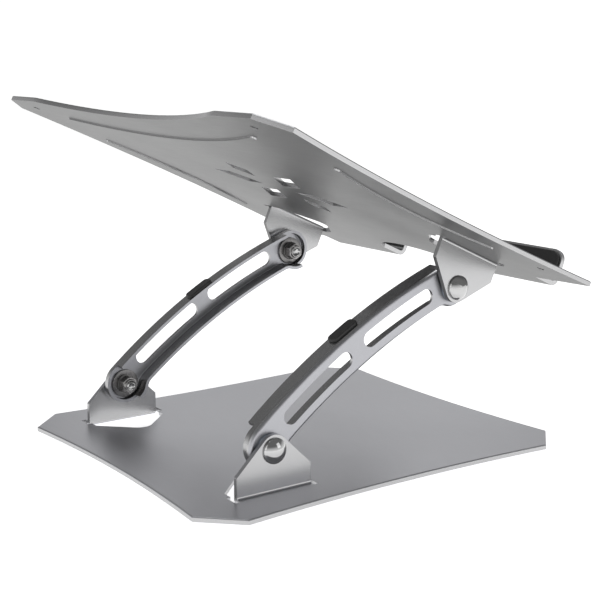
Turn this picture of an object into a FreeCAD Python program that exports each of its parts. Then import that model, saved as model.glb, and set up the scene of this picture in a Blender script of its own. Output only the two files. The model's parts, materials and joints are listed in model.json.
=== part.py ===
import FreeCAD, Part
import math
import os

import Sketcher
from FreeCAD import Rotation, Vector

# An adjustable laptop stand: a folded base plate, two curved channel arms and a folded
# tray, joined by four friction pivots.  Millimetres; X to the user's right, Y to the
# rear, Z up; the origin is the middle of the footprint, on the table.

doc = FreeCAD.newDocument("laptop_stand")
sheet = doc.addObject("Spreadsheet::Sheet", "Sizes")

SIZES = {
    # base plate
    "base_width": 240, "base_depth": 264, "base_corner_x": 21.5, "base_corner_y": 22,
    "base_bow": 5, "base_centre_y": 1.7, "foot_height": 2, "edge_break": 0.6,
    "foot_length": 46, "foot_width": 12, "foot_inset_x": 46, "foot_inset_y": 14,
    "foot_corner": 4,
    # sheet metal, and the tabs (ears) folded out of both plates
    "sheet_thick": 3, "ear_inner": 88.5, "ear_half": 24.8, "ear_side": 12.2,
    "ear_rise": 23.5, "ear_tip": 9.2, "fold_loss": 2.3, "fold_outer": 2.4, "fold_inner": 1.5,
    "relief_width": 3, "relief_inboard": 3.5, "relief_outboard": 6.5,
    # pivots
    "lower_pivot_y": 76.4, "upper_pivot_y": -57.1, "upper_pivot_z": 105.4,
    "bolt_radius": 3, "bolt_fit": 0.05, "side_gap": 0.05,
    "head_radius": 7.5, "head_rim": 1, "head_height": 4.6, "bolt_reach": 16.5,
    "nylon_thick": 0.9, "nylon_radius": 8.8, "washer_thick": 1.5, "washer_radius": 9.3,
    "spring_thick": 0.9, "spring_cone": 0.7, "spring_radius": 6.3, "nut_flats": 10,
    "nut_height": 5, "nut_collar": 1.5, "nut_collar_radius": 4.3, "thread_chamfer": 0.6,
    # arms
    "arm_depth": 12, "arm_wall": 2, "arm_half": 11.3, "arm_rise": 11.1, "arm_arc": 400,
    "arm_end": 13.5, "end_wall": 6, "end_length": 1, "arm_neck": 7, "arm_bend": 2.6,
    "slot_half": 5, "slot_inner": 10.5, "slot_outer": 56.5,
    "bumper_length": 20, "bumper_width": 8, "bumper_height": 2, "bumper_corner": 3,
    "bumper_crown": 0.7,
    # tray
    "tray_tilt": 24.5, "tray_rear": 209.3, "tray_rear_arc": 107, "tray_rear_flat": 142,
    "tray_shoulder": 157.5, "tray_shoulder_drop": 15, "tray_rear_bow": 15,
    "tray_side_bow": 12, "tray_front_half": 155.5, "tray_front_side": 247,
    "tray_front": 252, "hook_outer": 108, "hook_inner": 38, "hook_reach": 272,
    "hook_height": 20.5, "hook_corner": 8, "hook_bend": 2, "recess_depth": 22,
    # grip strips and their pressed grooves
    "strip_width": 3.6, "groove_depth": 1.2, "rib_height": 1, "strip_proud": 0.8,
    "strip_fit": 0.05, "rear_strip_half": 106, "rear_strip_bow": 17, "rear_strip_v": 45,
    "side_strip_x": 115, "side_strip_v": 128, "side_strip_half": 60, "side_strip_bow": 13,
    "hook_pad_thick": 1.6, "hook_pad_low": 3, "hook_pad_margin": 1.5, "hook_pad_corner": 7,
    # vents: four leaning windows and two diamonds round a point of the tray
    "vent_middle_v": 125.8, "vent_gap": 5.3, "vent_length": 19, "vent_width": 18,
    "vent_inner": 10.2, "vent_lean": 14,
    "diamond_offset": 32, "diamond_half_width": 7.3, "diamond_half_length": 12.2,
    # small round holes near the tray's corners
    "hole_radius": 2.2, "rear_hole_x": 128, "rear_hole_v": 12.5, "front_hole_x": 137,
    "front_hole_v": 223, "middle_hole_x": 96.5, "middle_hole_v": 232,
}
for row, (alias, number) in enumerate(SIZES.items(), start=1):
    sheet.set(f"A{row}", alias)
    sheet.set(f"B{row}", str(number))
    sheet.setAlias(f"B{row}", alias)
doc.recompute()


class Size:
    """A length known both as a number and as the expression that gives it."""

    def __init__(self, text, value):
        self.text = text
        self.value = value

    def _join(self, sign, other, result):
        text = other.text if isinstance(other, Size) else str(other)
        return Size(f"({self.text} {sign} {text})", result)

    def __add__(self, other):
        return self._join("+", other, self.value + number_of(other))

    def __sub__(self, other):
        return self._join("-", other, self.value - number_of(other))

    def __mul__(self, other):
        return self._join("*", other, self.value * number_of(other))

    def __truediv__(self, other):
        return self._join("/", other, self.value / number_of(other))

    def __neg__(self):
        return Size(f"(-1 * {self.text})", -self.value)


def number_of(length):
    """The plain number of a Size or of a number."""
    return length.value if isinstance(length, Size) else float(length)


def root(length):
    return Size(f"sqrt({length.text})", math.sqrt(length.value))


def size(alias):
    return Size(f"Sizes.{alias}", float(sheet.get(alias)))


def plain(value):
    """A Size that is only a number."""
    return Size(str(value), value)


ZERO = Size("0", 0.0)
TOUCH = 1e-3  # closer than this, two heights are the same


def bow_radius(half_chord, bow):
    """Radius of the arc that stands `bow` off a chord of twice `half_chord`."""
    return (half_chord * half_chord + bow * bow) / (bow * 2)


# ---------------------------------------------------------------- sketch helpers

def origin_plane(body, role):
    for feature in body.Origin.OriginFeatures:
        if feature.Role == role:
            return feature
    raise ValueError(role)


def new_body(label):
    body = doc.addObject("PartDesign::Body", label)
    body.Label = label
    return body


def new_sketch(body, name, role, offset=None):
    sketch = body.newObject("Sketcher::SketchObject", f"{body.Label}_{name}")
    sketch.AttachmentSupport = [(origin_plane(body, role), "")]
    sketch.MapMode = "FlatFace"
    if offset is not None:
        sketch.setExpression("AttachmentOffset.Base.z", offset.text)
    return sketch


def bind(sketch, constraint, length):
    """Add a dimension to the sketch and tie it to the sheet."""
    index = sketch.addConstraint(constraint)
    sketch.setExpression(f"Constraints[{index}]", length.text)


def fix_point(sketch, geometry, position, x, y):
    for kind, length in (("DistanceX", x), ("DistanceY", y)):
        if length is ZERO:
            axis = -2 if kind == "DistanceX" else -1
            sketch.addConstraint(Sketcher.Constraint("PointOnObject", geometry, position, axis))
        else:
            bind(sketch, Sketcher.Constraint(kind, -1, 1, geometry, position, length.value), length)


def ccw_arc(centre, radius, start, end):
    """The arc about `centre` from the direction of `start` round to that of `end`."""
    first = math.atan2(start[1] - centre[1], start[0] - centre[0])
    last = math.atan2(end[1] - centre[1], end[0] - centre[0])
    if last <= first:
        last += 2 * math.pi
    return Part.ArcOfCircle(Part.Circle(Vector(*centre, 0), Vector(0, 0, 1), radius), first, last)


def draw_outline(sketch, corners, arcs=None):
    """A closed outline.  `corners` are (x, y) pairs of Size; `arcs` gives, for the edge that
    leaves a corner, its radius: its centre lies left of the edge, or right if `side` is -1."""
    arcs = arcs or {}
    ends = []
    count = len(corners)
    for index, (x, y) in enumerate(corners):
        start = (x.value, y.value)
        end = tuple(length.value for length in corners[(index + 1) % count])
        if index not in arcs:
            edge = Part.LineSegment(Vector(*start, 0), Vector(*end, 0))
            geometry = sketch.addGeometry(edge, False)
            ends.append((geometry, 1, 2))
            continue
        radius, side = arcs[index]
        chord = math.dist(start, end)
        reach = math.sqrt(radius.value ** 2 - chord ** 2 / 4)
        along = ((end[0] - start[0]) / chord, (end[1] - start[1]) / chord)
        centre = ((start[0] + end[0]) / 2 - along[1] * reach * side,
                  (start[1] + end[1]) / 2 + along[0] * reach * side)
        if side > 0:
            geometry = sketch.addGeometry(ccw_arc(centre, radius.value, start, end), False)
            ends.append((geometry, 1, 2))
        else:
            geometry = sketch.addGeometry(ccw_arc(centre, radius.value, end, start), False)
            ends.append((geometry, 2, 1))
    for index, (geometry, _, last) in enumerate(ends):
        following = ends[(index + 1) % count]
        sketch.addConstraint(
            Sketcher.Constraint("Coincident", geometry, last, following[0], following[1]))
    for (geometry, first, _), (x, y) in zip(ends, corners):
        fix_point(sketch, geometry, first, x, y)
    for index, (radius, _) in arcs.items():
        bind(sketch, Sketcher.Constraint("Radius", ends[index][0], radius.value), radius)


def draw_circle(sketch, x, y, radius):
    circle = Part.Circle(Vector(x.value, y.value, 0), Vector(0, 0, 1), radius.value)
    geometry = sketch.addGeometry(circle, False)
    if x is ZERO and y is ZERO:
        sketch.addConstraint(Sketcher.Constraint("Coincident", geometry, 3, -1, 1))
    else:
        fix_point(sketch, geometry, 3, x, y)
    bind(sketch, Sketcher.Constraint("Radius", geometry, radius.value), radius)


def draw_rectangle(sketch, low_x, low_y, high_x, high_y):
    draw_outline(sketch, [(low_x, low_y), (high_x, low_y), (high_x, high_y), (low_x, high_y)])


def draw_curved_slot(sketch, centre, radius, half_width, ends):
    """A slot bent round `centre`, with round ends whose centres `ends` are (x, y) Sizes in
    counter-clockwise order."""
    middle = (centre[0].value, centre[1].value)
    first, last = [(x.value, y.value) for x, y in ends]

    def on_ray(point, distance):
        reach = math.dist(middle, point)
        return tuple(m + (p - m) * distance / reach for m, p in zip(middle, point))

    outer = radius.value + half_width.value
    inner = radius.value - half_width.value
    arcs = [
        ccw_arc(middle, outer, first, last),
        ccw_arc(last, half_width.value, on_ray(last, outer), on_ray(last, inner)),
        ccw_arc(middle, inner, first, last),
        ccw_arc(first, half_width.value, on_ray(first, inner), on_ray(first, outer)),
    ]
    big, far_end, small, near_end = [sketch.addGeometry(arc, False) for arc in arcs]
    for one, place, other, where in ((big, 2, far_end, 1), (far_end, 2, small, 2),
                                     (small, 1, near_end, 1), (near_end, 2, big, 1)):
        sketch.addConstraint(Sketcher.Constraint("Tangent", one, place, other, where))
    sketch.addConstraint(Sketcher.Constraint("Coincident", big, 3, small, 3))
    fix_point(sketch, big, 3, *centre)
    bind(sketch, Sketcher.Constraint("Radius", big, outer), radius + half_width)
    bind(sketch, Sketcher.Constraint("Radius", small, inner), radius - half_width)
    for geometry, (x, y), point in ((near_end, ends[0], first), (far_end, ends[1], last)):
        # The end's place along the arc: its coordinate across the arc's own direction.
        if abs(point[1] - middle[1]) > abs(point[0] - middle[0]):
            bind(sketch, Sketcher.Constraint("DistanceX", -1, 1, geometry, 3, x.value), x)
        else:
            bind(sketch, Sketcher.Constraint("DistanceY", -1, 1, geometry, 3, y.value), y)


def draw_tab(sketch, place, foot, side, rise, tip):
    """A tab's outline: straight sides, then slopes up to a round tip.  `place` turns a
    distance along the fold and a height off it into sketch coordinates."""
    half = size("ear_half")
    centre = (0.0, rise.value)
    corner = (half.value, side.value)
    # Where the slope from the corner touches the round tip.
    gap = math.dist(centre, corner)
    slope = math.atan2(corner[1] - centre[1], corner[0] - centre[0])
    turn = math.acos(tip.value / gap)
    touch = (tip.value * math.cos(slope + turn), rise.value + tip.value * math.sin(slope + turn))

    def point(along, height):
        x, y = place(plain(along), plain(height))
        return (x.value, y.value)

    path = [point(-half.value, foot.value), point(half.value, foot.value), point(*corner),
            point(*touch), point(-touch[0], touch[1]), point(-corner[0], corner[1])]
    lines = {}
    for index in (0, 1, 2, 4, 5):
        start, end = path[index], path[(index + 1) % 6]
        lines[index] = sketch.addGeometry(Part.LineSegment(Vector(*start, 0), Vector(*end, 0)), False)
    middle = point(*centre)
    # True where `place` flips the outline, which then runs clockwise.
    turned = (path[2][0] - path[1][0]) * (path[1][1] - path[0][1]) \
        - (path[2][1] - path[1][1]) * (path[1][0] - path[0][0]) < 0
    if turned:
        arc = sketch.addGeometry(ccw_arc(middle, tip.value, path[3], path[4]), False)
        into, out = 1, 2
    else:
        arc = sketch.addGeometry(ccw_arc(middle, tip.value, path[4], path[3]), False)
        into, out = 2, 1
    for one, other in ((0, 1), (1, 2), (4, 5), (5, 0)):
        sketch.addConstraint(Sketcher.Constraint("Coincident", lines[one], 2, lines[other], 1))
    sketch.addConstraint(Sketcher.Constraint("Tangent", lines[2], 2, arc, into))
    sketch.addConstraint(Sketcher.Constraint("Tangent", arc, out, lines[4], 1))
    fix_point(sketch, lines[0], 1, *place(-half, foot))
    fix_point(sketch, lines[1], 1, *place(half, foot))
    fix_point(sketch, lines[2], 1, *place(half, side))
    fix_point(sketch, lines[5], 1, *place(-half, side))
    fix_point(sketch, arc, 3, *place(ZERO, rise))
    bind(sketch, Sketcher.Constraint("Radius", arc, tip.value), tip)


# ---------------------------------------------------------------- feature helpers

def volume_of(body):
    doc.recompute()
    return body.Shape.Volume if body.Tip is not None and not body.Shape.isNull() else 0.0


def add_pad(body, name, sketch, length, backwards=False):
    before = volume_of(body)
    pad = body.newObject("PartDesign::Pad", f"{body.Label}_{name}")
    pad.Profile = sketch
    pad.setExpression("Length", length.text)
    pad.Reversed = backwards
    if volume_of(body) <= before:
        raise RuntimeError(f"{pad.Name} adds nothing")
    return pad


def add_pocket(body, name, sketch, length=None, backwards=False):
    """A pocket `length` deep, or right through the body when no length is given."""
    before = volume_of(body)
    pocket = body.newObject("PartDesign::Pocket", f"{body.Label}_{name}")
    pocket.Profile = sketch
    pocket.Reversed = backwards
    if length is None:
        pocket.Type = "ThroughAll"
    else:
        pocket.setExpression("Length", length.text)
    if volume_of(body) >= before:
        raise RuntimeError(f"{pocket.Name} cuts nothing")
    return pocket


def mirror_across_middle(body, features):
    before = volume_of(body)
    mirrored = body.newObject("PartDesign::Mirrored", f"{body.Label}_mirrored")
    mirrored.Originals = features
    mirrored.MirrorPlane = (origin_plane(body, "YZ_Plane"), [""])
    body.Tip = mirrored
    if abs(volume_of(body) - before) < 1:
        raise RuntimeError(f"{mirrored.Name} changes nothing")
    return mirrored


def round_edges(body, name, base, radius, chosen, kind="Fillet"):
    """Fillet (or chamfer) the edges of `base` for which `chosen` is true."""
    doc.recompute()
    names = [f"Edge{index}" for index, edge in enumerate(base.Shape.Edges, start=1)
             if chosen(edge)]
    if not names:
        raise RuntimeError(f"{body.Label}_{name} finds no edge")
    feature = body.newObject(f"PartDesign::{kind}", f"{body.Label}_{name}")
    feature.Base = (base, names)
    feature.setExpression("Radius" if kind == "Fillet" else "Size", radius.text)
    doc.recompute()
    return feature


# ---------------------------------------------------------------- folded plates

def add_ears(body, sheet_face, up, fold_y, pivot_height):
    """The two tabs that carry a pair of pivots, and the openings they are folded out of.
    `sheet_face` is the height of the sheet face that they leave; `up` is 1 or -1."""
    thick = size("sheet_thick")
    inner = size("ear_inner")
    far_face = sheet_face - thick * up
    lower_face = far_face if up > 0 else sheet_face
    loss = size("fold_loss")
    half = size("ear_half")
    width = size("relief_width")

    def from_fold(along):
        return along if fold_y is ZERO else fold_y + along

    opening = new_sketch(body, "opening_sketch", "XY_Plane", lower_face)
    draw_tab(opening, lambda along, height: (inner - height, from_fold(along)),
             ZERO, size("ear_side") - loss, size("ear_rise") - loss, size("ear_tip"))
    features = [add_pocket(body, "opening", opening, thick, backwards=True)]

    reliefs = new_sketch(body, "relief_sketch", "XY_Plane", lower_face)
    low_x = inner - size("relief_inboard")
    high_x = inner + size("relief_outboard")
    for low, high in ((half, half + width), (-half - width, -half)):
        draw_rectangle(reliefs, low_x, from_fold(low), high_x, from_fold(high))
    features.append(add_pocket(body, "relief", reliefs, thick, backwards=True))

    ear = new_sketch(body, "ear_sketch", "YZ_Plane", inner)
    draw_tab(ear, lambda along, height: (from_fold(along), sheet_face + height * up),
             -thick, size("ear_side"), size("ear_rise"), size("ear_tip"))
    draw_circle(ear, fold_y, pivot_height, size("bolt_radius") + size("bolt_fit"))
    features.append(add_pad(body, "ear", ear, thick))
    mirrored = mirror_across_middle(body, features)

    def long_edge_at(x, z):
        def chosen(edge):
            box = edge.BoundBox
            flat = max(abs(abs(box.XMin) - x), abs(abs(box.XMax) - x),
                       abs(box.ZMin - z), abs(box.ZMax - z))
            return flat < TOUCH and box.YLength > half.value
        return chosen

    outside = round_edges(body, "fold_outside", mirrored, size("fold_outer"),
                          long_edge_at(inner.value, far_face.value))
    round_edges(body, "fold_inside", outside, size("fold_inner"),
                long_edge_at(inner.value + thick.value, sheet_face.value))


def break_rim(body, base, height, behind):
    """Break the sharp upper rim of a plate, for the edges that lie wholly behind a line."""
    def chosen(edge):
        box = edge.BoundBox
        return box.ZMin > height - TOUCH and box.YMin > behind - TOUCH
    round_edges(body, "rim", base, size("edge_break"), chosen, "Chamfer")


def build_base_plate():
    body = new_body("base_plate")
    body.setExpression("Placement.Base.y", size("base_centre_y").text)
    body.setExpression("Placement.Base.z", size("foot_height").text)
    half_x = size("base_width") / 2
    half_y = size("base_depth") / 2
    flat_x = half_x - size("base_corner_x")
    flat_y = half_y - size("base_corner_y")
    bow = size("base_bow")
    corners = [(-flat_x, -half_y), (flat_x, -half_y), (half_x, -flat_y), (half_x, flat_y),
               (flat_x, half_y), (-flat_x, half_y), (-half_x, flat_y), (-half_x, -flat_y)]
    along = (bow_radius(flat_x, bow), -1)
    across = (bow_radius(flat_y, bow), -1)
    outline = new_sketch(body, "outline", "XY_Plane")
    draw_outline(outline, corners, {0: along, 2: across, 4: along, 6: across})
    plate = add_pad(body, "plate", outline, size("sheet_thick"))
    break_rim(body, plate, size("sheet_thick").value, -half_y.value)
    add_ears(body, size("sheet_thick"), 1, size("lower_pivot_y") - size("base_centre_y"),
             size("sheet_thick") + size("ear_rise"))


def tray_y(distance_from_rear):
    """The tray's own Y of a line that far forward of its rear edge."""
    return size("tray_rear") - distance_from_rear


def place_on_tray(body):
    """Stand a body's own frame on the upper pivot axis, tilted with the tray."""
    body.setExpression("Placement.Base.y", size("upper_pivot_y").text)
    body.setExpression("Placement.Base.z", size("upper_pivot_z").text)
    body.Placement.Rotation = Rotation(Vector(1, 0, 0), size("tray_tilt").value)
    body.setExpression("Placement.Rotation.Angle", size("tray_tilt").text)


def rear_groove(sketch, half_width):
    half_length = size("rear_strip_half")
    radius = bow_radius(size("rear_strip_half"), size("rear_strip_bow"))
    middle = tray_y(size("rear_strip_v"))
    height = middle + size("rear_strip_bow")
    draw_curved_slot(sketch, (ZERO, middle + radius), radius, half_width,
                     [(-half_length, height), (half_length, height)])


def side_groove(sketch, side, half_width):
    half_length = size("side_strip_half")
    radius = bow_radius(size("side_strip_half"), size("side_strip_bow"))
    centre_x = (size("side_strip_x") + radius) * side
    centre_y = tray_y(size("side_strip_v"))
    end_x = (size("side_strip_x") + size("side_strip_bow")) * side
    ends = [(end_x, centre_y + half_length * side), (end_x, centre_y - half_length * side)]
    draw_curved_slot(sketch, (centre_x, centre_y), radius, half_width, ends)


def draw_vents(sketch):
    """Four windows that lean towards the middle of the group, and a diamond behind and in
    front of them."""
    middle = tray_y(size("vent_middle_v"))
    inner = size("vent_inner")
    lean = size("vent_lean")
    width = size("vent_width")
    near = size("vent_gap")
    far = near + size("vent_length")
    tip = size("diamond_half_length")
    corner = size("diamond_half_width")
    for end in (1, -1):
        for side in (1, -1):
            window = [(inner * side, middle + near * end),
                      ((inner + width) * side, middle + near * end),
                      ((inner + width + lean) * side, middle + far * end),
                      ((inner + lean) * side, middle + far * end)]
            draw_outline(sketch, window)
        centre = middle + size("diamond_offset") * end
        draw_outline(sketch, [(corner, centre), (ZERO, centre + tip), (-corner, centre),
                              (ZERO, centre - tip)])


def draw_corner_holes(sketch):
    for place in ("rear", "front", "middle"):
        for side in (1, -1):
            draw_circle(sketch, size(f"{place}_hole_x") * side, tray_y(size(f"{place}_hole_v")),
                        size("hole_radius"))


def build_tray_plate():
    body = new_body("tray_plate")
    place_on_tray(body)
    thick = size("sheet_thick")
    under = size("ear_rise")
    top = under + thick
    rear = size("tray_rear")
    front = tray_y(size("tray_front"))
    face = tray_y(size("hook_reach"))
    lip = top + size("hook_height")
    outer_bend = size("hook_bend") + thick
    fold = face + outer_bend
    half = [(size("tray_rear_arc"), rear), (size("tray_rear_flat"), rear),
            (size("tray_shoulder"), rear - size("tray_shoulder_drop")),
            (size("tray_front_half"), tray_y(size("tray_front_side"))),
            (size("hook_outer"), front), (size("hook_outer"), fold),
            (size("hook_inner"), fold), (size("hook_inner"), front)]
    # Clockwise down the right side, then its mirror image back up the left side.
    corners = half + [(-x, y) for x, y in reversed(half)]
    side_chord = size("tray_front_side") - size("tray_shoulder_drop")
    side = (bow_radius(side_chord / 2, size("tray_side_bow")), 1)
    recess = (bow_radius(size("hook_inner"), size("recess_depth")), 1)
    rear_edge = (bow_radius(size("tray_rear_arc"), size("tray_rear_bow")), 1)
    outline = new_sketch(body, "outline", "XY_Plane", under)
    draw_outline(outline, corners, {2: side, 7: recess, 12: side, 15: rear_edge})
    plate = add_pad(body, "plate", outline, thick)
    # The rim stays square along the hooks, where the sheet goes on round the fold.
    break_rim(body, plate, top.value, front.value)

    hook = new_sketch(body, "hook_sketch", "YZ_Plane", size("hook_inner"))
    draw_outline(hook, [(fold, under), (fold, top), (face + thick, top + size("hook_bend")),
                        (face + thick, lip), (face, lip), (face, under + outer_bend)],
                 {1: (size("hook_bend"), -1), 5: (outer_bend, 1)})
    hooks = add_pad(body, "hook", hook, size("hook_outer") - size("hook_inner"))
    hooks = mirror_across_middle(body, [hooks])

    def hook_corner(edge):
        box = edge.BoundBox
        return abs(box.ZMin - lip.value) < TOUCH and box.XLength < TOUCH

    round_edges(body, "hook_corner", hooks, size("hook_corner"), hook_corner)
    for name, draw_groove in GROOVES.items():
        rib = new_sketch(body, f"{name}_rib_sketch", "XY_Plane", under)
        draw_groove(rib, size("strip_width") / 2)
        add_pad(body, f"{name}_rib", rib, size("rib_height"), backwards=True)
        groove = new_sketch(body, f"{name}_groove_sketch", "XY_Plane", top)
        draw_groove(groove, size("strip_width") / 2)
        add_pocket(body, f"{name}_groove", groove, size("groove_depth"))
    for name, draw_cuts in (("vents", draw_vents), ("corner_holes", draw_corner_holes)):
        cuts = new_sketch(body, f"{name}_sketch", "XY_Plane", top)
        draw_cuts(cuts)
        add_pocket(body, name, cuts, thick)
    add_ears(body, under, -1, ZERO, ZERO)


def build_grip_strips():
    """Soft strips pressed into the tray's grooves, standing a little proud of it."""
    floor = size("ear_rise") + size("sheet_thick") - size("groove_depth")
    for name, draw_groove in GROOVES.items():
        body = new_body(f"{name}_grip_strip")
        place_on_tray(body)
        sketch = new_sketch(body, "outline", "XY_Plane", floor)
        draw_groove(sketch, size("strip_width") / 2 - size("strip_fit"))
        add_pad(body, "strip", sketch, size("groove_depth") + size("strip_proud"))


def build_hook_pads():
    """A soft pad on the inner face of each hook."""
    top = size("ear_rise") + size("sheet_thick")
    low = top + size("hook_pad_low")
    high = top + size("hook_height") - size("hook_pad_margin")
    near = size("hook_inner") + size("hook_pad_margin")
    far = size("hook_outer") - size("hook_pad_margin")
    rear_face = tray_y(size("hook_reach")) + size("sheet_thick")
    for name, low_x, high_x in (("right", near, far), ("left", -far, -near)):
        body = new_body(f"{name}_hook_pad")
        place_on_tray(body)
        sketch = new_sketch(body, "outline", "XZ_Plane", -rear_face)
        draw_rectangle(sketch, low_x, low, high_x, high)
        pad = add_pad(body, "pad", sketch, size("hook_pad_thick"), backwards=True)

        def corner(edge, top_face=high.value):
            box = edge.BoundBox
            return box.XLength < TOUCH and box.ZLength < TOUCH and abs(box.ZMax - top_face) < TOUCH

        round_edges(body, "corner", pad, size("hook_pad_corner"), corner)


# ---------------------------------------------------------------- arms

def web_face():
    """Distance from the middle plane to the arm's outer face."""
    return size("ear_inner") - size("nylon_thick") - size("side_gap") * 2


def pivot_spacing():
    run = size("lower_pivot_y") - size("upper_pivot_y")
    rise = size("upper_pivot_z") - lower_pivot_z()
    return root(run * run + rise * rise), run, rise


def lower_pivot_z():
    return size("foot_height") + size("sheet_thick") + size("ear_rise")


def place_on_arm(body):
    """Stand a body's frame on the lower pivot, its -Y axis pointing at the upper pivot."""
    _, run, rise = pivot_spacing()
    body.setExpression("Placement.Base.y", size("lower_pivot_y").text)
    body.setExpression("Placement.Base.z", lower_pivot_z().text)
    angle = math.degrees(math.atan2(rise.value, run.value))
    body.Placement.Rotation = Rotation(Vector(-1, 0, 0), angle)
    body.setExpression("Placement.Rotation.Angle", f"atan2({rise.text}; {run.text})")


def arm_arc_centre():
    length, _, _ = pivot_spacing()
    return (-length / 2, size("arm_rise") - size("arm_arc"))


def draw_arm(sketch):
    """Two concentric arcs closed by round ends that hang a little below the inner arc."""
    length, _, _ = pivot_spacing()
    centre = arm_arc_centre()
    middle = (centre[0].value, centre[1].value)
    outer = size("arm_arc") + size("arm_half")
    inner = size("arm_arc") - size("arm_half")
    end = size("arm_end")
    reach = outer.value - end.value
    end_height = math.sqrt(reach ** 2 - middle[0] ** 2) + middle[1]
    rear_end = (0.0, end_height)
    front_end = (-length.value, end_height)

    def on_ray(point):
        return tuple(m + (p - m) * outer.value / reach for m, p in zip(middle, point))

    # Where the rear end circle crosses the inner arc.
    apart = (reach ** 2 + inner.value ** 2 - end.value ** 2) / (2 * reach)
    aside = math.sqrt(inner.value ** 2 - apart ** 2)
    along = ((rear_end[0] - middle[0]) / reach, (rear_end[1] - middle[1]) / reach)
    rear_join = (middle[0] + along[0] * apart - along[1] * aside,
                 middle[1] + along[1] * apart + along[0] * aside)
    front_join = (2 * middle[0] - rear_join[0], rear_join[1])

    arcs = [ccw_arc(middle, outer.value, on_ray(rear_end), on_ray(front_end)),
            ccw_arc(front_end, end.value, on_ray(front_end), front_join),
            ccw_arc(middle, inner.value, rear_join, front_join),
            ccw_arc(rear_end, end.value, rear_join, on_ray(rear_end))]
    top, front, bottom, rear = [sketch.addGeometry(arc, False) for arc in arcs]
    for kind, one, place, other, where in (
            ("Tangent", top, 1, rear, 2), ("Tangent", top, 2, front, 1),
            ("Coincident", bottom, 1, rear, 1), ("Coincident", bottom, 2, front, 2),
            ("Coincident", bottom, 3, top, 3)):
        sketch.addConstraint(Sketcher.Constraint(kind, one, place, other, where))
    fix_point(sketch, top, 3, *centre)
    for geometry, radius in ((top, outer), (bottom, inner), (front, end), (rear, end)):
        bind(sketch, Sketcher.Constraint("Radius", geometry, radius.value), radius)
    sketch.addConstraint(Sketcher.Constraint("PointOnObject", rear, 3, -2))
    bind(sketch, Sketcher.Constraint("DistanceX", -1, 1, front, 3, -length.value), -length)


def build_arm(name, side):
    """A stamped channel: a slotted web next to the ears and a wall all round it, facing in."""
    body = new_body(f"{name}_arm")
    place_on_arm(body)
    length, _, _ = pivot_spacing()
    face = web_face() * side
    inward = side > 0
    outline = new_sketch(body, "outline", "YZ_Plane", face)
    draw_arm(outline)
    block = add_pad(body, "block", outline, size("arm_depth"), backwards=inward)

    def neck(edge):
        box = edge.BoundBox
        return box.YLength < TOUCH and box.ZLength < TOUCH and box.ZMin < 0

    necks = round_edges(body, "neck", block, size("arm_neck"), neck)

    def web_rim(edge):
        box = edge.BoundBox
        return abs(box.XMin - face.value) < TOUCH and box.XLength < TOUCH

    bent = round_edges(body, "bend", necks, size("arm_bend"), web_rim)
    open_side = face.value - side * size("arm_depth").value
    open_face = [f"Face{index}" for index, part_face in enumerate(bent.Shape.Faces, start=1)
                 if abs(part_face.BoundBox.XMin - open_side) < TOUCH
                 and part_face.BoundBox.XLength < TOUCH]
    channel = body.newObject("PartDesign::Thickness", f"{body.Label}_channel")
    channel.Base = (bent, open_face)
    channel.setExpression("Value", size("arm_wall").text)
    channel.Reversed = True
    doc.recompute()

    cuts = new_sketch(body, "cut_sketch", "YZ_Plane", face)
    centre = arm_arc_centre()
    half = length / 2
    for near, far in ((size("slot_inner"), size("slot_outer")),
                      (-size("slot_outer"), -size("slot_inner"))):
        ends = []
        for offset in (far, near):
            drop = root(size("arm_arc") * size("arm_arc") - offset * offset)
            ends.append((offset - half, centre[1] + drop))
        draw_curved_slot(cuts, centre, size("arm_arc"), size("slot_half"), ends)
    hole = size("bolt_radius") + size("bolt_fit")
    draw_circle(cuts, ZERO, ZERO, hole)
    draw_circle(cuts, -length, ZERO, hole)
    add_pocket(body, "cuts", cuts, size("arm_wall") * 2, backwards=not inward)

    # The wall is lower round each pivot, so that a spanner reaches the nut.
    lowered = new_sketch(body, "end_sketch", "YZ_Plane", face - size("arm_depth") * side)
    past = size("arm_end") * 2
    for near, far in ((past, -size("end_length")),
                      (size("end_length") - length, -length - past)):
        draw_outline(lowered, [(near, -past), (near, past), (far, past), (far, -past)])
    add_pocket(body, "ends", lowered, size("arm_depth") - size("end_wall"), backwards=inward)


def build_arm_bumper(name, side):
    """A soft block on the top of the arm, where the folded tray comes to rest."""
    body = new_body(f"{name}_arm_bumper")
    place_on_arm(body)
    centre = arm_arc_centre()
    outer = size("arm_arc") + size("arm_half")
    half = size("bumper_length") / 2
    foot = centre[1] + root(outer * outer - half * half)
    rise = size("bumper_height")
    middle_x = web_face() - size("arm_depth") / 2 - size("arm_bend") / 2
    low_x = middle_x - size("bumper_width") / 2
    start = low_x if side > 0 else -(low_x + size("bumper_width"))
    sketch = new_sketch(body, "outline", "YZ_Plane", start)
    corners = [(centre[0] + half, foot), (centre[0] + half, foot + rise),
               (centre[0] - half, foot + rise), (centre[0] - half, foot)]
    draw_outline(sketch, corners, {1: (outer + rise, 1), 3: (outer, -1)})
    block = add_pad(body, "block", sketch, size("bumper_width"))

    def upright(edge):
        box = edge.BoundBox
        return box.XLength < TOUCH and box.YLength < TOUCH

    rounded = round_edges(body, "corner", block, size("bumper_corner"), upright)

    def crown(edge):
        return edge.BoundBox.ZMin > foot.value + rise.value - TOUCH

    round_edges(body, "crown", rounded, size("bumper_crown"), crown)


# ---------------------------------------------------------------- pivot hardware

def new_pivot_body(label, pivot, side):
    """A body whose X axis runs out along the pivot axis, away from the stand's middle."""
    body = new_body(label)
    pivot_y, pivot_z = pivot
    body.setExpression("Placement.Base.y", pivot_y.text)
    body.setExpression("Placement.Base.z", pivot_z.text)
    if side < 0:
        body.Placement.Rotation = Rotation(Vector(0, 0, 1), 180)
    return body


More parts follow.
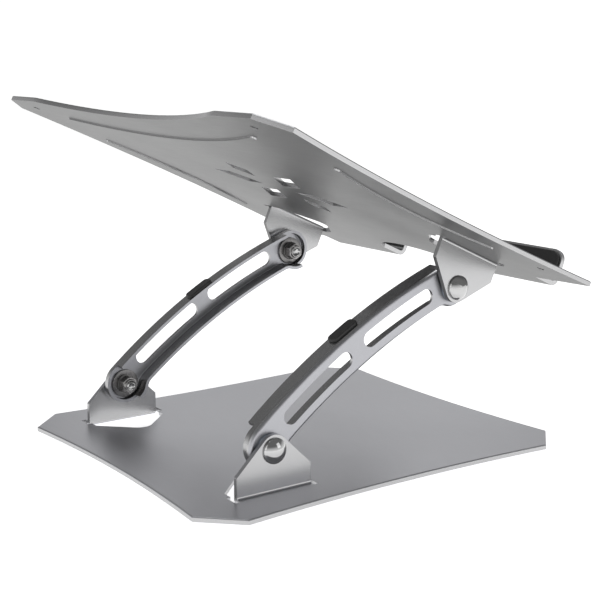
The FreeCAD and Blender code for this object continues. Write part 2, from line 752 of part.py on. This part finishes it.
def turn_profile(body, corners, arcs=None):
    """A solid turned about the pivot axis from a profile of (place along it, radius)."""
    sketch = new_sketch(body, "profile", "XY_Plane")
    draw_outline(sketch, corners, arcs)
    turned = body.newObject("PartDesign::Revolution", f"{body.Label}_turned")
    turned.Profile = sketch
    turned.ReferenceAxis = (sketch, ["H_Axis"])
    turned.Angle = 360
    doc.recompute()
    return turned


def turn_ring(body, low, high, radius):
    hole = size("bolt_radius") + size("bolt_fit")
    return turn_profile(body, [(low, hole), (high, hole), (high, radius), (low, radius)])


def build_bolt(label, pivot, side):
    body = new_pivot_body(label, pivot, side)
    seat = size("ear_inner") + size("sheet_thick") + size("side_gap")
    tip = seat - size("bolt_reach")
    shank = size("bolt_radius")
    head = size("head_radius")
    dome = size("head_height") - size("head_rim")
    chamfer = size("thread_chamfer")
    corners = [(tip, ZERO), (seat + size("head_height"), ZERO), (seat + size("head_rim"), head),
               (seat, head), (seat, shank), (tip + chamfer, shank), (tip, shank - chamfer)]
    turn_profile(body, corners, {1: (bow_radius(head, dome), 1)})


def build_nut(label, pivot, side, outer_end):
    """A hexagon nut with the plain collar that holds its locking ring."""
    body = new_pivot_body(label, pivot, side)
    half_flats = size("nut_flats") / 2
    corner = size("nut_flats") / math.sqrt(3)
    inner_end = outer_end - size("nut_height")
    hexagon = new_sketch(body, "hexagon", "YZ_Plane", inner_end)
    draw_outline(hexagon, [(corner, ZERO), (corner / 2, half_flats), (-corner / 2, half_flats),
                           (-corner, ZERO), (-corner / 2, -half_flats), (corner / 2, -half_flats)])
    add_pad(body, "hexagon_block", hexagon, size("nut_height"))
    collar = new_sketch(body, "collar_sketch", "YZ_Plane", inner_end)
    draw_circle(collar, ZERO, ZERO, size("nut_collar_radius"))
    add_pad(body, "collar", collar, size("nut_collar"), backwards=True)
    bore = new_sketch(body, "bore_sketch", "YZ_Plane", outer_end)
    draw_circle(bore, ZERO, ZERO, size("bolt_radius") + size("bolt_fit"))
    add_pocket(body, "bore", bore, size("nut_height") + size("nut_collar"))


def build_disc_spring(label, pivot, side, outer_end):
    body = new_pivot_body(label, pivot, side)
    hole = size("bolt_radius") + size("bolt_fit")
    rim = size("spring_radius")
    thick = size("spring_thick")
    cone = size("spring_cone")
    turn_profile(body, [(outer_end - thick, rim), (outer_end - thick - cone, hole),
                        (outer_end - cone, hole), (outer_end, rim)])


def build_pivot(name, pivot, side):
    """One friction pivot, from the domed head outside to the lock nut inside."""
    build_bolt(f"{name}_bolt", pivot, side)
    nylon = new_pivot_body(f"{name}_nylon_washer", pivot, side)
    nylon_face = size("ear_inner") - size("side_gap")
    turn_ring(nylon, nylon_face - size("nylon_thick"), nylon_face, size("nylon_radius"))
    steel = new_pivot_body(f"{name}_steel_washer", pivot, side)
    steel_face = web_face() - size("arm_wall") - size("side_gap")
    turn_ring(steel, steel_face - size("washer_thick"), steel_face, size("washer_radius"))
    spring_face = steel_face - size("washer_thick")
    build_disc_spring(f"{name}_disc_spring", pivot, side, spring_face)
    nut_face = spring_face - size("spring_thick") - size("spring_cone")
    build_nut(f"{name}_lock_nut", pivot, side, nut_face)


def build_feet():
    """Four soft pads under the base plate's corners."""
    reach_x = size("base_width") / 2 - size("foot_inset_x")
    reach_y = size("base_depth") / 2 - size("foot_inset_y")
    half_length = size("foot_length") / 2
    half_width = size("foot_width") / 2
    for name, side_x, side_y in (("rear_left", -1, 1), ("rear_right", 1, 1),
                                 ("front_left", -1, -1), ("front_right", 1, -1)):
        body = new_body(f"{name}_foot")
        centre_x = reach_x * side_x
        centre_y = size("base_centre_y") + reach_y * side_y
        sketch = new_sketch(body, "outline", "XY_Plane")
        draw_rectangle(sketch, centre_x - half_length, centre_y - half_width,
                       centre_x + half_length, centre_y + half_width)
        pad = add_pad(body, "pad", sketch, size("foot_height"))

        def upright(edge):
            box = edge.BoundBox
            return box.XLength < TOUCH and box.YLength < TOUCH

        round_edges(body, "corner", pad, size("foot_corner"), upright)


# ---------------------------------------------------------------- the whole stand

def check_document():
    """Stop before anything is written if any object or solid is faulty."""
    doc.recompute()
    for item in doc.Objects:
        if any(state in ("Invalid", "Error") for state in item.State):
            raise RuntimeError(f"{item.Name} is in state {item.State}")
    bodies = [item for item in doc.Objects if item.TypeId == "PartDesign::Body"]
    for body in bodies:
        if body.Shape.isNull() or not body.Shape.isValid() or len(body.Shape.Solids) != 1:
            raise RuntimeError(f"{body.Label} is not one valid solid")
    return bodies


GROOVES = {
    "rear": rear_groove,
    "right": lambda sketch, half_width: side_groove(sketch, 1, half_width),
    "left": lambda sketch, half_width: side_groove(sketch, -1, half_width),
}
LOWER_PIVOT = (size("lower_pivot_y"), lower_pivot_z())
UPPER_PIVOT = (size("upper_pivot_y"), size("upper_pivot_z"))

build_base_plate()
build_feet()
build_tray_plate()
build_grip_strips()
build_hook_pads()
for side_name, hand in (("left", -1), ("right", 1)):
    build_arm(side_name, hand)
    build_arm_bumper(side_name, hand)
    build_pivot(f"lower_{side_name}", LOWER_PIVOT, hand)
    build_pivot(f"upper_{side_name}", UPPER_PIVOT, hand)

os.makedirs("parts", exist_ok=True)
for part_body in check_document():
    part_body.Shape.exportStep(f"parts/{part_body.Label}.step")
    box = part_body.Shape.BoundBox
    print(part_body.Label, round(part_body.Shape.Volume), [round(v, 2) for v in (
        box.XMin, box.XMax, box.YMin, box.YMax, box.ZMin, box.ZMax)])
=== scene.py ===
import json
import math

import bmesh
import bpy
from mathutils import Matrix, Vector


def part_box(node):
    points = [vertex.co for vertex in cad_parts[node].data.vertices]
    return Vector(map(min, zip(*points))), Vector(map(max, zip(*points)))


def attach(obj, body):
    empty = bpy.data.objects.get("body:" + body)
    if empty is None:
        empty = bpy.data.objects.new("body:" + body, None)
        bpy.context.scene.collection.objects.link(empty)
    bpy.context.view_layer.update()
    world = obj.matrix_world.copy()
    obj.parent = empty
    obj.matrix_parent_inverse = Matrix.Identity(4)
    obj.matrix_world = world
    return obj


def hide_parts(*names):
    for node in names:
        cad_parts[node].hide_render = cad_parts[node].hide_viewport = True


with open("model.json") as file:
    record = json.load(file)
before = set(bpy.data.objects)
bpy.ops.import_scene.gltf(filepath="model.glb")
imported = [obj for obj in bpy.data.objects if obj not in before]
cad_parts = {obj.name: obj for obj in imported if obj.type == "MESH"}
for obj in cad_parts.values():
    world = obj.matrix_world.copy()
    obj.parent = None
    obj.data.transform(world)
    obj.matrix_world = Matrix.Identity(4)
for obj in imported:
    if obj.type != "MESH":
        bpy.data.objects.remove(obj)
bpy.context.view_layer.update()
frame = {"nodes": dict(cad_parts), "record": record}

MM = 0.001
NODES = frame["nodes"]
BODY_OF = {node: body for body, nodes in frame["record"]["behaviour"]["bodies"].items() for node in nodes}

# ---------------------------------------------------------------- materials

NOISE_LOW, NOISE_HIGH = 0.3, 0.7    # a noise is nearly always between these
MIX_SOCKETS = {"RGBA": (0, 6, 7, 2), "FLOAT": (0, 2, 3, 0)}    # factor, first, second, result

# Noise scales, in cells per metre.
CLOUDS, STREAKS, BLASTING, SPECKLE = 14.0, 60.0, 900.0, 2600.0
MOTTLE, DUST, PEBBLE = 120.0, 420.0, 1800.0
HAZE, SCRATCHES = 260.0, 500.0
TARNISH, TURNING = 300.0, 1400.0
MILKINESS, MOULD_GRAIN = 350.0, 2200.0
PAPER = 40.0


class Graph:
    """A short way to write a shader's node tree."""

    def __init__(self, name):
        self.material = bpy.data.materials.new(name)
        self.material.use_nodes = True
        self.nodes = self.material.node_tree.nodes
        self.links = self.material.node_tree.links
        self.shader = self.nodes["Principled BSDF"]

    def add(self, kind, settings=None, **sockets):
        node = self.nodes.new(kind)
        for key, value in (settings or {}).items():
            setattr(node, key, value)
        for key, value in sockets.items():
            self.put(node, key.replace("_", " "), value)
        return node

    def put(self, node, key, value):
        socket = node.inputs[int(key) if key.isdigit() else key]
        if isinstance(value, bpy.types.NodeSocket):
            self.links.new(value, socket)
        else:
            socket.default_value = value

    def set(self, **sockets):
        for key, value in sockets.items():
            self.put(self.shader, key.replace("_", " "), value)

    def place(self):
        return self.add("ShaderNodeTexCoord").outputs["Object"]

    def noise(self, where, scale, detail=3.0, roughness=0.5, stretch=None):
        if stretch:
            mapping = self.add("ShaderNodeMapping", Vector=where)
            mapping.inputs["Scale"].default_value = stretch
            where = mapping.outputs["Vector"]
        return self.add("ShaderNodeTexNoise", Vector=where, Scale=scale, Detail=detail,
                        Roughness=roughness).outputs["Fac"]

    def mottle(self, noise, low, high):
        """A colour, or a grey, that runs with a noise."""
        node = self.add("ShaderNodeValToRGB", Fac=noise)
        for element, place, colour in zip(node.color_ramp.elements, (NOISE_LOW, NOISE_HIGH), (low, high)):
            element.position = place
            element.color = grey(colour) if isinstance(colour, float) else colour
        return node.outputs["Color"]

    def range(self, value, low, high, to_low, to_high):
        node = self.add("ShaderNodeMapRange", Value=value)
        for key, number in (("From Min", low), ("From Max", high), ("To Min", to_low), ("To Max", to_high)):
            node.inputs[key].default_value = number
        return node.outputs["Result"]

    def vary(self, noise, low, high):
        """A number that runs with a noise."""
        return self.range(noise, NOISE_LOW, NOISE_HIGH, low, high)

    def math(self, operation, first, second=0.0):
        node = self.add("ShaderNodeMath", {"operation": operation})
        self.put(node, "0", first)
        self.put(node, "1", second)
        return node.outputs["Value"]

    def mix(self, factor, first, second, kind="RGBA", blend="MIX"):
        node = self.add("ShaderNodeMix", {"data_type": kind, "blend_type": blend})
        *inputs, result = MIX_SOCKETS[kind]
        for index, value in zip(inputs, (factor, first, second)):
            self.put(node, str(index), value)
        return node.outputs[result]

    def bump(self, height, strength, distance, below=None):
        node = self.add("ShaderNodeBump", Height=height, Strength=strength, Distance=distance)
        if below:
            self.links.new(below, node.inputs["Normal"])
        return node.outputs["Normal"]


def grey(value):
    return (value, value, value, 1.0)


def faces_of_sheet(graph, across):
    """Two shares: 1 on the cut faces, whose normal lies in the sheet, and 1 on its underside, where painted
    shade goes.
    """
    normal = graph.add("ShaderNodeTexCoord").outputs["Normal"]
    node = graph.add("ShaderNodeVectorMath", {"operation": "DOT_PRODUCT"})
    graph.links.new(normal, node.inputs[0])
    node.inputs[1].default_value = across
    along = node.outputs["Value"]
    cut_full, cut_none, turn = 0.3, 0.75, 0.2
    edge = graph.range(graph.math("ABSOLUTE", along), cut_none, cut_full, 0.0, 1.0)
    return edge, graph.range(along, turn, -turn, 0.0, 1.0)


def aluminium(name, across, tone, bright=0.50, painted_shade_under=None, grazing=0.8):
    """Bead-blasted, anodised sheet.  `across` is the sheet's normal, `bright` the grey of its cut
    faces and `painted_shade_under` a darker grey painted on its underside as shade, where that is not the
    tone of the top."""
    dim, lit, streaking, dullness, cut_dullness = 0.955, 1.045, 0.015, 0.36, 0.27
    graph = Graph(name)
    where = graph.place()
    cloud = graph.noise(where, CLOUDS, 4.0, 0.55)
    speckle = graph.noise(where, SPECKLE, 2.0, 0.6)
    fine = graph.noise(where, BLASTING, 3.0, 0.65)
    streak = graph.noise(where, STREAKS, 3.0, 0.6, stretch=(1.0, 14.0, 14.0))
    low = tuple(dim * c for c in tone) + (1.0,)
    high = tuple(lit * c for c in tone) + (1.0,)
    colour = graph.mottle(cloud, low, high)
    colour = graph.mix(0.16, colour, graph.mottle(speckle, 0.40, 0.62), blend="OVERLAY")
    edge, below = faces_of_sheet(graph, across)
    # Painted shade: the underside gets a darker grey than the top, though both are the same anodising.
    if painted_shade_under:
        colour = graph.mix(below, colour, graph.mottle(cloud, dim * painted_shade_under, lit * painted_shade_under))
    colour = graph.mix(edge, colour, (bright, bright, 1.01 * bright, 1.0))
    dull = graph.math("ADD", graph.vary(cloud, dullness - 0.03, dullness + 0.03),
                      graph.vary(streak, -streaking, streaking))
    graph.shader.inputs["Specular Tint"].default_value = grey(grazing)
    normal = graph.bump(fine, 0.10, 0.12 * MM)
    graph.set(Base_Color=colour, Metallic=1.0, Roughness=graph.mix(edge, dull, cut_dullness, "FLOAT"),
              Normal=graph.bump(speckle, 0.12, 0.05 * MM, normal))
    return graph.material


def rubber(name, tone=0.022, rough=0.55):
    graph = Graph(name)
    where = graph.place()
    mottle = graph.noise(where, MOTTLE, 3.0)
    pebble = graph.noise(where, PEBBLE, 2.0, 0.6)
    dust = graph.noise(where, DUST, 5.0, 0.7)
    colour = graph.mottle(mottle, 0.8 * tone, 1.3 * tone)
    colour = graph.mix(graph.range(dust, 0.62, 0.8, 0.0, 0.35), colour, grey(4.0 * tone))
    graph.set(Base_Color=colour, Roughness=graph.vary(mottle, rough - 0.06, rough + 0.08),
              Normal=graph.bump(pebble, 0.35, 0.06 * MM))
    graph.shader.inputs["Sheen Weight"].default_value = 0.08
    return graph.material


def chrome(name, tone, rough=0.07):
    graph = Graph(name)
    where = graph.place()
    haze = graph.noise(where, HAZE, 4.0, 0.6)
    scratch = graph.noise(where, SCRATCHES, 3.0, 0.7, stretch=(1.0, 9.0, 1.0))
    graph.set(Base_Color=graph.mottle(haze, 0.95 * tone, tone), Metallic=1.0,
              Roughness=graph.vary(haze, 0.7 * rough, 1.5 * rough),
              Normal=graph.bump(scratch, 0.03, 0.04 * MM))
    return graph.material


def nickel(name, tone=0.26, rough=0.30):
    graph = Graph(name)
    where = graph.place()
    tarnish = graph.noise(where, TARNISH, 5.0, 0.6)
    turning = graph.noise(where, TURNING, 2.0, 0.6, stretch=(6.0, 1.0, 1.0))
    low = (0.72 * tone, 0.70 * tone, 0.70 * tone, 1.0)
    high = (1.15 * tone, 1.13 * tone, 1.12 * tone, 1.0)
    graph.set(Base_Color=graph.mottle(tarnish, low, high), Metallic=1.0,
              Roughness=graph.vary(tarnish, rough - 0.08, rough + 0.10),
              Normal=graph.bump(turning, 0.10, 0.08 * MM))
    return graph.material


def nylon(name):
    graph = Graph(name)
    where = graph.place()
    cloudy = graph.noise(where, MILKINESS, 3.0)
    graph.set(Base_Color=graph.mottle(cloudy, (0.52, 0.60, 0.70, 1.0), (0.66, 0.73, 0.80, 1.0)),
              Roughness=graph.vary(cloudy, 0.34, 0.44),
              Normal=graph.bump(graph.noise(where, MOULD_GRAIN), 0.1, 0.05 * MM))
    graph.shader.inputs["Subsurface Weight"].default_value = 0.2
    graph.shader.inputs["Subsurface Radius"].default_value = (0.001, 0.001, 0.0012)
    return graph.material


TILT = math.radians(24.5)
BASE_UP = (0.0, 0.0, 1.0)
TRAY_UP = (0.0, -math.sin(TILT), math.cos(TILT))
ARM_OUT = (1.0, 0.0, 0.0)

# Base, tray and arms are the same anodised aluminium; the greys that set them apart are painted light and
# shade.
BASE_METAL = aluminium("base_aluminium", BASE_UP, (0.54, 0.543, 0.57))
# The tray's darker underside grey of 0.195 is painted shade.
TRAY_METAL = aluminium("tray_aluminium", TRAY_UP, (0.42, 0.423, 0.442), painted_shade_under=0.195, grazing=0.75)
ARM_METAL = aluminium("arm_aluminium", ARM_OUT, (0.43, 0.433, 0.455), bright=0.44)
BLACK = rubber("black_rubber")
PAD_BLACK = rubber("pad_rubber", tone=0.014, rough=0.5)
CHROME = chrome("polished_chrome", tone=0.52)
DARK_STEEL = nickel("dark_nickel")
SPRING_STEEL = nickel("spring_steel", tone=0.16, rough=0.36)
NUT_STEEL = nickel("nut_steel", tone=0.36, rough=0.24)
NYLON = nylon("natural_nylon")


def paint(obj, material):
    obj.data.materials.clear()
    obj.data.materials.append(material)


# ---------------------------------------------------------------- the CAD's own sheets and rubber

SHEET_BEVEL, RUBBER_BEVEL, PAD_BEVEL = 0.3, 0.35, 0.5    # millimetres
BEVEL_ANGLE, FACET_ANGLE = math.radians(28.0), math.radians(0.4)
WELD_DISTANCE = 1e-6
FACE_WEIGHT = 60


def soften(obj, width):
    """Merges the flat facets and puts a small bevel on every sharp edge, so that it catches the light."""
    weld = obj.modifiers.new("weld", "WELD")
    weld.merge_threshold = WELD_DISTANCE
    flat = obj.modifiers.new("flat", "DECIMATE")
    flat.decimate_type = "DISSOLVE"
    flat.angle_limit = FACET_ANGLE
    bevel = obj.modifiers.new("bevel", "BEVEL")
    bevel.width = width * MM
    bevel.segments = 2
    bevel.limit_method = "ANGLE"
    bevel.angle_limit = BEVEL_ANGLE
    smooth = obj.modifiers.new("shade", "WEIGHTED_NORMAL")
    smooth.weight = FACE_WEIGHT
    for polygon in obj.data.polygons:
        polygon.use_smooth = True


# ---------------------------------------------------------------- pivot hardware, in millimetres

def smooth_mesh(name, build, material, node, sharp):
    """A detailed piece that stands for a CAD node.  `build` fills a bmesh in millimetres, and edges
    of more than `sharp` degrees stay sharp."""
    mesh = bpy.data.meshes.new(name)
    bm = bmesh.new()
    build(bm)
    bmesh.ops.recalc_face_normals(bm, faces=bm.faces)
    bmesh.ops.scale(bm, vec=(MM, MM, MM), verts=bm.verts)
    for face in bm.faces:
        face.smooth = True
    bm.to_mesh(mesh)
    bm.free()
    mesh.set_sharp_from_angle(angle=math.radians(sharp))
    obj = bpy.data.objects.new(name, mesh)
    bpy.context.scene.collection.objects.link(obj)
    paint(obj, material)
    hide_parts(node)
    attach(obj, BODY_OF[node])


def axis_of(node):
    """The pivot axis that a turned node sits on: its (y, z) in millimetres, and the side it is on."""
    low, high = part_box(node)
    side = 1 if low.x + high.x > 0 else -1
    return (low.y + high.y) / 2 / MM, (low.z + high.z) / 2 / MM, side


def reach_of(node):
    """How far from the middle of the stand a node starts and ends, in millimetres."""
    low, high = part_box(node)
    places = sorted((abs(low.x) / MM, abs(high.x) / MM))
    return places[0], places[1]


def grid_of_rings(bm, rings, close_ends):
    """Joins closed rings of points, one after the other, with quads."""
    rows = [[bm.verts.new(point) for point in ring] for ring in rings]
    count = len(rows[0])
    pairs = list(zip(rows, rows[1:]))
    if not close_ends:
        pairs.append((rows[-1], rows[0]))
    for one, other in pairs:
        for index in range(count):
            after = (index + 1) % count
            bm.faces.new((one[index], one[after], other[after], other[index]))
    if close_ends:
        bm.faces.new(rows[0])
        bm.faces.new(rows[-1])


def turned(profile, axis, count, closed=False, radius_at=None):
    """Turns (place, radius) points about a pivot axis.  `radius_at` may change a radius with the angle."""
    centre_y, centre_z, side = axis

    def build(bm):
        rings = []
        for place, radius in profile:
            ring = []
            for index in range(count):
                angle = 2 * math.pi * index / count
                reach = radius_at(place, radius, angle) if radius_at else radius
                ring.append((side * place, centre_y + reach * math.cos(angle),
                             centre_z + reach * math.sin(angle)))
            rings.append(ring)
        grid_of_rings(bm, rings, closed)
    return build


ARC_STEPS = 4


def rounded_ring(inner, outer, low, high, edge):
    """The profile of a washer with rounded rims."""
    points = []
    for place, radius, start in ((high - edge, outer - edge, 0), (low + edge, outer - edge, 90),
                                 (low + edge, inner + edge, 180), (high - edge, inner + edge, 270)):
        for step in range(ARC_STEPS + 1):
            angle = math.radians(start + 90 * step / ARC_STEPS)
            points.append((place + edge * math.cos(angle), radius + edge * math.sin(angle)))
    return points


BOLT_RADIUS = 3.0
HOLE_RADIUS = 3.05
HEAD_RADIUS = 7.5
HEAD_HEIGHT = 4.6
DOME_HEIGHT = 3.6
DOME_SHARE = 0.985       # how far out the dome runs before the head's rim is rounded
DOME_RINGS = 22
THREAD_PITCH = 1.0
THREAD_DEPTH = 0.32
THREAD_LENGTH = 3.6
THREAD_RINGS = 44
THREAD_FADE = 0.6
TIP_CHAMFER = 0.6
NUT_FLATS = 5.0          # from the axis to a flat
NUT_CORNER = NUT_FLATS / math.cos(math.pi / 6)
NUT_CORNER_BLUNT = 0.03
NUT_CHAMFER = 0.62
NUT_CHAMFER_SLOPE = 1.7
NUT_CHAMFER_RINGS = (0.0, 0.08, 0.16, 0.24, 0.34, 0.45)
COLLAR_RADIUS = 4.3
COLLAR_LENGTH = 1.5
COLLAR_TURN, COLLAR_LIP = 0.45, 0.55
STEEL_RIM, NYLON_RIM = 0.2, 0.25
SPRING_RADIUS = 6.25
SPRING_SEAM = 0.18       # how deep the line between two stacked springs is


def bolt(node):
    """A domed head, a plain shank and a threaded end, whose last turns stand out of the lock nut."""
    tip, top = reach_of(node)
    seat = top - HEAD_HEIGHT
    bow = (HEAD_RADIUS ** 2 + DOME_HEIGHT ** 2) / (2 * DOME_HEIGHT)
    profile = []
    for step in range(1, DOME_RINGS + 1):
        reach = HEAD_RADIUS * DOME_SHARE * step / DOME_RINGS
        profile.append((top - bow + math.sqrt(bow ** 2 - reach ** 2), reach))
    profile += [(seat + 0.72, HEAD_RADIUS - 0.02), (seat + 0.4, HEAD_RADIUS),
                (seat + 0.12, HEAD_RADIUS - 0.06), (seat, HEAD_RADIUS - 0.35),
                (seat, BOLT_RADIUS + 0.02), (seat - 0.3, BOLT_RADIUS)]
    thread_start = tip + THREAD_LENGTH
    profile.append((thread_start, BOLT_RADIUS))
    for row in range(1, THREAD_RINGS):
        profile.append((thread_start + (tip + 0.02 - thread_start) * row / THREAD_RINGS, BOLT_RADIUS))
    profile += [(tip, BOLT_RADIUS - 0.75), (tip + 0.35, BOLT_RADIUS - 1.1)]

    def threaded(place, radius, angle):
        if place >= thread_start - 0.01 or radius < BOLT_RADIUS:
            return radius
        turn = (place / THREAD_PITCH - angle / (2 * math.pi)) % 1.0
        groove = 1 - abs(2 * turn - 1)
        fade = min(1.0, (thread_start - place) / THREAD_FADE)
        chamfer = max(0.0, TIP_CHAMFER - (place - tip))
        return min(radius - THREAD_DEPTH * groove * fade, BOLT_RADIUS - chamfer)

    smooth_mesh(node.replace("_bolt", "_domed_bolt"),
                turned(profile, axis_of(node), 64, True, threaded), CHROME, node, 50)


def lock_nut(node):
    """A hexagon nut, chamfered at both ends, with the collar that grips its nylon ring."""
    low, high = reach_of(node)
    start = low + COLLAR_LENGTH

    def hexagon(place, radius, angle):
        if radius <= NUT_FLATS:
            return radius
        across = NUT_FLATS / math.cos((angle + math.pi / 6) % (math.pi / 3) - math.pi / 6)
        from_end = min(high - place, place - start)
        return min(across, NUT_CORNER - NUT_CHAMFER + from_end * NUT_CHAMFER_SLOPE,
                   NUT_CORNER - NUT_CORNER_BLUNT)

    profile = [(high, HOLE_RADIUS), (high, 4.0), (high, 4.7)]
    profile += [(high - step, NUT_CORNER) for step in NUT_CHAMFER_RINGS]
    profile += [(start + step, NUT_CORNER) for step in reversed(NUT_CHAMFER_RINGS)]
    profile += [(start, 4.72), (start - 0.12, 4.42), (start - 0.35, COLLAR_RADIUS)]
    for step in range(ARC_STEPS + 1):
        angle = math.radians(90 * step / ARC_STEPS)
        profile.append((low + COLLAR_TURN - COLLAR_TURN * math.sin(angle),
                        COLLAR_RADIUS - COLLAR_LIP + COLLAR_LIP * math.cos(angle)))
    profile += [(low + 0.02, 3.5), (low + 0.25, 3.42), (low + 0.3, HOLE_RADIUS)]
    smooth_mesh(node.replace("_lock_nut", "_hexagon_nut"),
                turned(profile, axis_of(node), 144, radius_at=hexagon), NUT_STEEL, node, 24)


def washer(node, name, material, edge):
    low, high = reach_of(node)
    box_low, box_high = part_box(node)
    outer = (box_high.y - box_low.y) / 2 / MM
    profile = rounded_ring(HOLE_RADIUS, outer, low, high, edge)
    smooth_mesh(name, turned(profile, axis_of(node), 96), material, node, 40)


def disc_spring(node):
    """Two thin cones, one in the other, as the stack of disc springs is."""
    low, high = reach_of(node)
    seam = SPRING_RADIUS - SPRING_SEAM
    profile = [(high, SPRING_RADIUS), (high - 0.42, SPRING_RADIUS), (high - 0.44, seam),
               (high - 0.48, seam), (high - 0.50, SPRING_RADIUS), (high - 0.9, SPRING_RADIUS),
               (low, HOLE_RADIUS + 0.1), (low + 0.1, HOLE_RADIUS), (low + 0.85, HOLE_RADIUS)]
    smooth_mesh(node.replace("_disc_spring", "_spring_stack"),
                turned(profile, axis_of(node), 72), SPRING_STEEL, node, 30)


METALS = {"base_plate": BASE_METAL, "tray_plate": TRAY_METAL,
          "left_arm": ARM_METAL, "right_arm": ARM_METAL}
for name, obj in sorted(NODES.items()):
    if name in METALS:
        paint(obj, METALS[name])
        soften(obj, SHEET_BEVEL)
    elif name.endswith("_bolt"):
        bolt(name)
    elif name.endswith("_lock_nut"):
        lock_nut(name)
    elif name.endswith("_steel_washer"):
        washer(name, name.replace("_steel_washer", "_flat_washer"), DARK_STEEL, STEEL_RIM)
    elif name.endswith("_nylon_washer"):
        washer(name, name.replace("_nylon_washer", "_nylon_ring"), NYLON, NYLON_RIM)
    elif name.endswith("_disc_spring"):
        disc_spring(name)
    elif name.endswith("_hook_pad"):
        paint(obj, PAD_BLACK)
        soften(obj, PAD_BEVEL)
    else:
        paint(obj, BLACK)
        soften(obj, RUBBER_BEVEL)

# ---------------------------------------------------------------- camera, light and floor

IMAGE_WIDTH = 600
FOCAL_LENGTH = 1253.5    # in widths of one of the image's dots
SENSOR_WIDTH = 36.0
PITCH, YAW = -11.25, -35.40

camera = bpy.data.objects.new("camera", bpy.data.cameras.new("camera"))
camera.location = Vector((-639.3, 448.4, 244.95)) * MM
camera.rotation_euler = (math.radians(90 + PITCH), 0.0, math.radians(YAW - 90))
camera.data.sensor_width = SENSOR_WIDTH
camera.data.lens = SENSOR_WIDTH * FOCAL_LENGTH / IMAGE_WIDTH
camera.data.clip_start = 0.05
bpy.context.scene.collection.objects.link(camera)
bpy.context.scene.camera = camera


def area_light(name, place, width, height, power):
    """A soft box that faces the middle of the stand."""
    data = bpy.data.lights.new(name, "AREA")
    data.shape = "RECTANGLE"
    data.size = width
    data.size_y = height
    data.energy = power
    light = bpy.data.objects.new(name, data)
    light.location = place
    light.rotation_euler = (STAND - Vector(place)).to_track_quat("-Z", "Y").to_euler()
    bpy.context.scene.collection.objects.link(light)


STAND = Vector((0.0, 0.0, 0.1))
area_light("overhead", (0.1, -0.1, 1.6), 1.1, 1.1, 8.0)
area_light("from_left", (-0.6, 1.6, 0.8), 1.2, 1.0, 3.0)
area_light("from_right", (-1.3, -0.9, 0.7), 0.7, 0.8, 1.8)
area_light("from_behind", (1.5, -1.1, 1.0), 1.2, 1.0, 2.0)

# The studio is white up to a little above the horizon and dim over that, as (height, grey).
STUDIO_WHITE, STUDIO_DIM = (0.05, 1.0), (0.42, 0.20)
STUDIO_STRENGTH = 1.05

world = bpy.data.worlds.new("studio")
world.use_nodes = True
bpy.context.scene.world = world
sky = world.node_tree.nodes["Background"]
direction = world.node_tree.nodes.new("ShaderNodeTexCoord")
height = world.node_tree.nodes.new("ShaderNodeSeparateXYZ")
fade = world.node_tree.nodes.new("ShaderNodeValToRGB")
world.node_tree.links.new(direction.outputs["Generated"], height.inputs["Vector"])
world.node_tree.links.new(height.outputs["Z"], fade.inputs["Fac"])
world.node_tree.links.new(fade.outputs["Color"], sky.inputs["Color"])
for element, (place, tone) in zip(fade.color_ramp.elements, (STUDIO_WHITE, STUDIO_DIM)):
    element.position = place
    element.color = grey(tone)
sky.inputs["Strength"].default_value = STUDIO_STRENGTH

FLOOR_REACH = 30.0
FLOOR_GLOW = 0.78

floor_mesh = bpy.data.meshes.new("floor")
corners = [(x * FLOOR_REACH, y * FLOOR_REACH, 0) for x, y in ((-1, -1), (1, -1), (1, 1), (-1, 1))]
floor_mesh.from_pydata(corners, [], [(0, 1, 2, 3)])
floor = bpy.data.objects.new("floor", floor_mesh)
bpy.context.scene.collection.objects.link(floor)
floor_graph = Graph("floor_paper")
paper = floor_graph.noise(floor_graph.place(), PAPER, 3.0)
floor_graph.set(Base_Color=floor_graph.mottle(paper, 0.93, 0.95), Roughness=0.9)
floor_graph.shader.inputs["Emission Color"].default_value = grey(1.0)
floor_graph.shader.inputs["Emission Strength"].default_value = FLOOR_GLOW
paint(floor, floor_graph.material)

bpy.context.scene.view_settings.view_transform = "Standard"
